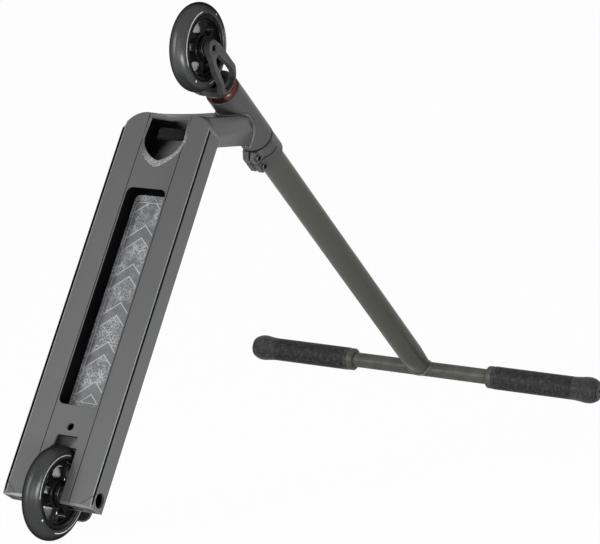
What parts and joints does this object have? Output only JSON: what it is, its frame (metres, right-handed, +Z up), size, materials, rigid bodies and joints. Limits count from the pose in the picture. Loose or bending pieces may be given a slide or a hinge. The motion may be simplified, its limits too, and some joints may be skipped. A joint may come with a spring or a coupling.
{
  "type": "stunt scooter",
  "caption": "Rigid stunt scooter parked upside down on its bars and rear wheel, with turning bars and fork, free-spinning wheels and a sprung foot brake.",
  "frame": {"origin": "centre of the bounding box in plan, on the ground that the grips and the rear wheel stand on", "axes": "+X from the rear wheel to the handlebar grips along the ground, +Y to the right side of a rider who would stand on the deck, +Z up, in the parked upside-down stance"},
  "size_m": [1.001, 0.565, 0.5944],
  "materials": {
    "frame_grey": "satin anodised",
    "bar_grey": "satin coated",
    "black_metal": "satin anodised",
    "copper_ring": "coloured anodised",
    "steel": "turned",
    "black_steel": "blackened",
    "tyre": "glossy cast",
    "rubber": "matt ribbed",
    "nylon": "moulded",
    "grip_tape": "gritty",
    "print": "printed film"
  },
  "bodies": {
    "deck": {"deck_extrusion": "frame_grey", "neck": "frame_grey", "head_tube": "frame_grey", "lower_bearing": "steel", "upper_bearing": "steel", "grip_tape": "grip_tape", "pocket_insert": "print", "tail_plug_left": "nylon", "tail_plug_right": "nylon", "brake_leaf": "steel", "brake_bolt": "black_steel", "brake_nut": "steel", "rear_axle_bolt": "black_steel", "rear_axle_nut": "black_steel", "rear_spacer_left": "steel", "rear_spacer_right": "steel"},
    "steering": {"fork": "black_metal", "crown_race": "copper_ring", "headset_cap": "black_metal", "clamp": "black_metal", "clamp_bolt_1": "black_steel", "clamp_bolt_2": "black_steel", "shim": "steel", "compression_cap": "black_metal", "compression_bolt": "black_steel", "star_nut": "steel", "down_tube": "bar_grey", "crossbar": "bar_grey", "grip_left": "rubber", "grip_right": "rubber", "grip_ring_left": "bar_grey", "grip_ring_right": "bar_grey", "bar_end_left": "nylon", "bar_end_right": "nylon", "front_axle_bolt": "black_steel", "front_axle_nut": "black_steel", "front_spacer_left": "steel", "front_spacer_right": "steel"},
    "front_wheel": {"front_tyre": "tyre", "front_core": "black_metal", "front_bearing_left": "steel", "front_bearing_right": "steel", "front_bearing_spacer": "steel"},
    "rear_wheel": {"rear_tyre": "tyre", "rear_core": "black_metal", "rear_bearing_left": "steel", "rear_bearing_right": "steel", "rear_bearing_spacer": "steel"},
    "brake": {"brake_fender": "nylon"}
  },
  "joints": [
    {"name": "steering_turn", "type": "hinge", "parent": "deck", "child": "steering", "pos_m": [-0.14116, 0, 0.53344], "axis": [0.7709, 0, -0.6369], "continuous": true},
    {"name": "front_wheel_spin", "type": "hinge", "parent": "steering", "child": "front_wheel", "pos_m": [-0.13606, 0, 0.53961], "axis": [0, 1, 0], "continuous": true},
    {"name": "rear_wheel_spin", "type": "hinge", "parent": "deck", "child": "rear_wheel", "pos_m": [-0.44555, 0, 0.055], "axis": [0, 1, 0], "continuous": true},
    {"name": "brake_flex", "type": "hinge", "parent": "deck", "child": "brake", "pos_m": [-0.39896, 0, 0.09822], "axis": [0, 1, 0], "range_deg": [0, 2.5], "stiffness_Nm_per_rad": 40}
  ]
}
